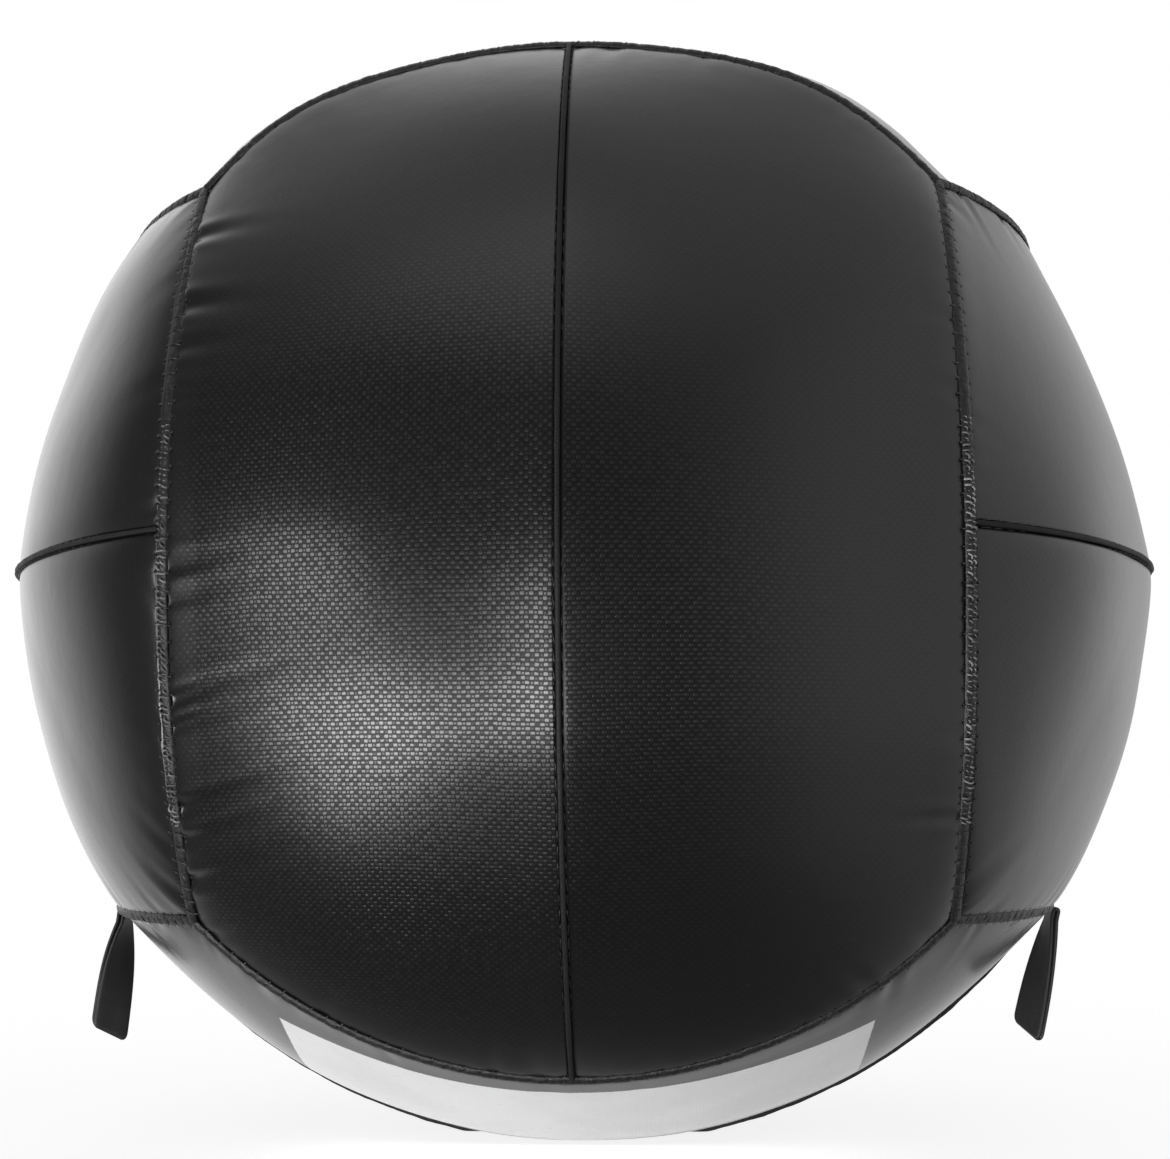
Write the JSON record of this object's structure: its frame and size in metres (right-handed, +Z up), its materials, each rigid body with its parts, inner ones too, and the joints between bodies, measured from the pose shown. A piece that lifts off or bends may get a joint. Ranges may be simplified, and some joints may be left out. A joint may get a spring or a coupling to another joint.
{
  "type": "wall ball",
  "caption": "Soft weighted exercise ball with a stitched panel cover, raised seams, a settled resting flat and webbing loops low on its sides.",
  "frame": {"origin": "middle of the settled flat that the ball stands on", "axes": "+Z up, -Y out of the front face whose centre seam runs up and down, +X to the right of someone facing that face"},
  "size_m": [0.3584, 0.3584, 0.3502],
  "materials": {
    "cover_vinyl": "black coated woven fabric, semi-gloss",
    "welt_vinyl": "black coated fabric folded into a flat welt",
    "seam_thread": "black whip-stitched thread",
    "loop_webbing": "black webbing, matte",
    "foam_padding": "grey foam",
    "fibre_filling": "packed fibre",
    "bag_cloth": "plain cloth",
    "sand": "matte"
  },
  "bodies": {
    "ball": {"back_left_pad": "foam_padding", "back_left_panel": "cover_vinyl", "back_lower_stitches": "seam_thread", "back_right_pad": "foam_padding", "back_right_panel": "cover_vinyl", "back_upper_stitches": "seam_thread", "back_welt": "welt_vinyl", "bottom_back_pad": "foam_padding", "bottom_back_panel": "cover_vinyl", "bottom_front_pad": "foam_padding", "bottom_front_panel": "cover_vinyl", "bottom_left_back_stitches": "seam_thread", "bottom_left_front_stitches": "seam_thread", "bottom_right_back_stitches": "seam_thread", "bottom_right_front_stitches": "seam_thread", "bottom_welt": "welt_vinyl", "front_left_pad": "foam_padding", "front_left_panel": "cover_vinyl", "front_lower_stitches": "seam_thread", "front_right_pad": "foam_padding", "front_right_panel": "cover_vinyl", "front_upper_stitches": "seam_thread", "front_welt": "welt_vinyl", "left_back_stitches": "seam_thread", "left_front_stitches": "seam_thread", "left_loop_root": "loop_webbing", "left_lower_pad": "foam_padding", "left_lower_panel": "cover_vinyl", "left_upper_pad": "foam_padding", "left_upper_panel": "cover_vinyl", "left_welt": "welt_vinyl", "lower_filling": "fibre_filling", "lower_weight_bag": "bag_cloth", "right_back_stitches": "seam_thread", "right_front_stitches": "seam_thread", "right_loop_root": "loop_webbing", "right_lower_pad": "foam_padding", "right_lower_panel": "cover_vinyl", "right_upper_pad": "foam_padding", "right_upper_panel": "cover_vinyl", "right_welt": "welt_vinyl", "top_back_pad": "foam_padding", "top_back_panel": "cover_vinyl", "top_front_pad": "foam_padding", "top_front_panel": "cover_vinyl", "top_left_stitches": "seam_thread", "top_right_stitches": "seam_thread", "top_welt": "welt_vinyl", "upper_filling": "fibre_filling", "upper_weight_bag": "bag_cloth", "weight_load": "sand"},
    "left_loop": {"left_loop": "loop_webbing"},
    "right_loop": {"right_loop": "loop_webbing"}
  },
  "joints": [
    {"name": "left_loop_swing", "type": "hinge", "parent": "ball", "child": "left_loop", "pos_m": [-0.1486, 0, 0.06873], "axis": [0, 1, 0], "range_deg": [-35, 120]},
    {"name": "right_loop_swing", "type": "hinge", "parent": "ball", "child": "right_loop", "pos_m": [0.1486, 0, 0.06873], "axis": [0, 1, 0], "range_deg": [-140, 15]}
  ]
}
